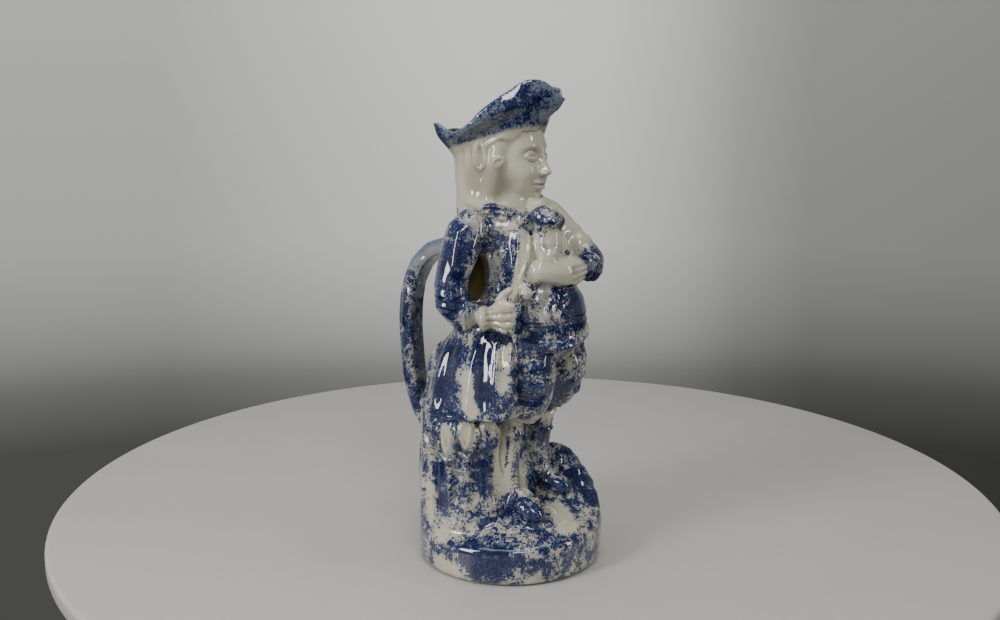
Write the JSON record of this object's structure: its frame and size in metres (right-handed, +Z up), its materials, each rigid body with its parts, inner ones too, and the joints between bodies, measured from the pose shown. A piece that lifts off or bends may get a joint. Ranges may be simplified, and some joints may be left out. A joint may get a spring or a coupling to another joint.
{
  "type": "toby jug",
  "caption": "Standing toby jug in sponged, glazed earthenware: a stout man in an open tricorn hat on a rock mound, with a strap handle behind.",
  "frame": {"origin": "middle of the round foot's flat underside", "axes": "+Z up through the hat's open top; -Y the way the man faces; -X towards his right hand and +X towards his left; the handle is on +Y"},
  "size_m": [0.1115, 0.133, 0.2839],
  "materials": {
    "glazed_earthenware": "high gloss clear glaze over cream earthenware, sponged in cobalt blue"
  },
  "bodies": {
    "root": {"toby_jug": "glazed_earthenware"}
  },
  "joints": []
}
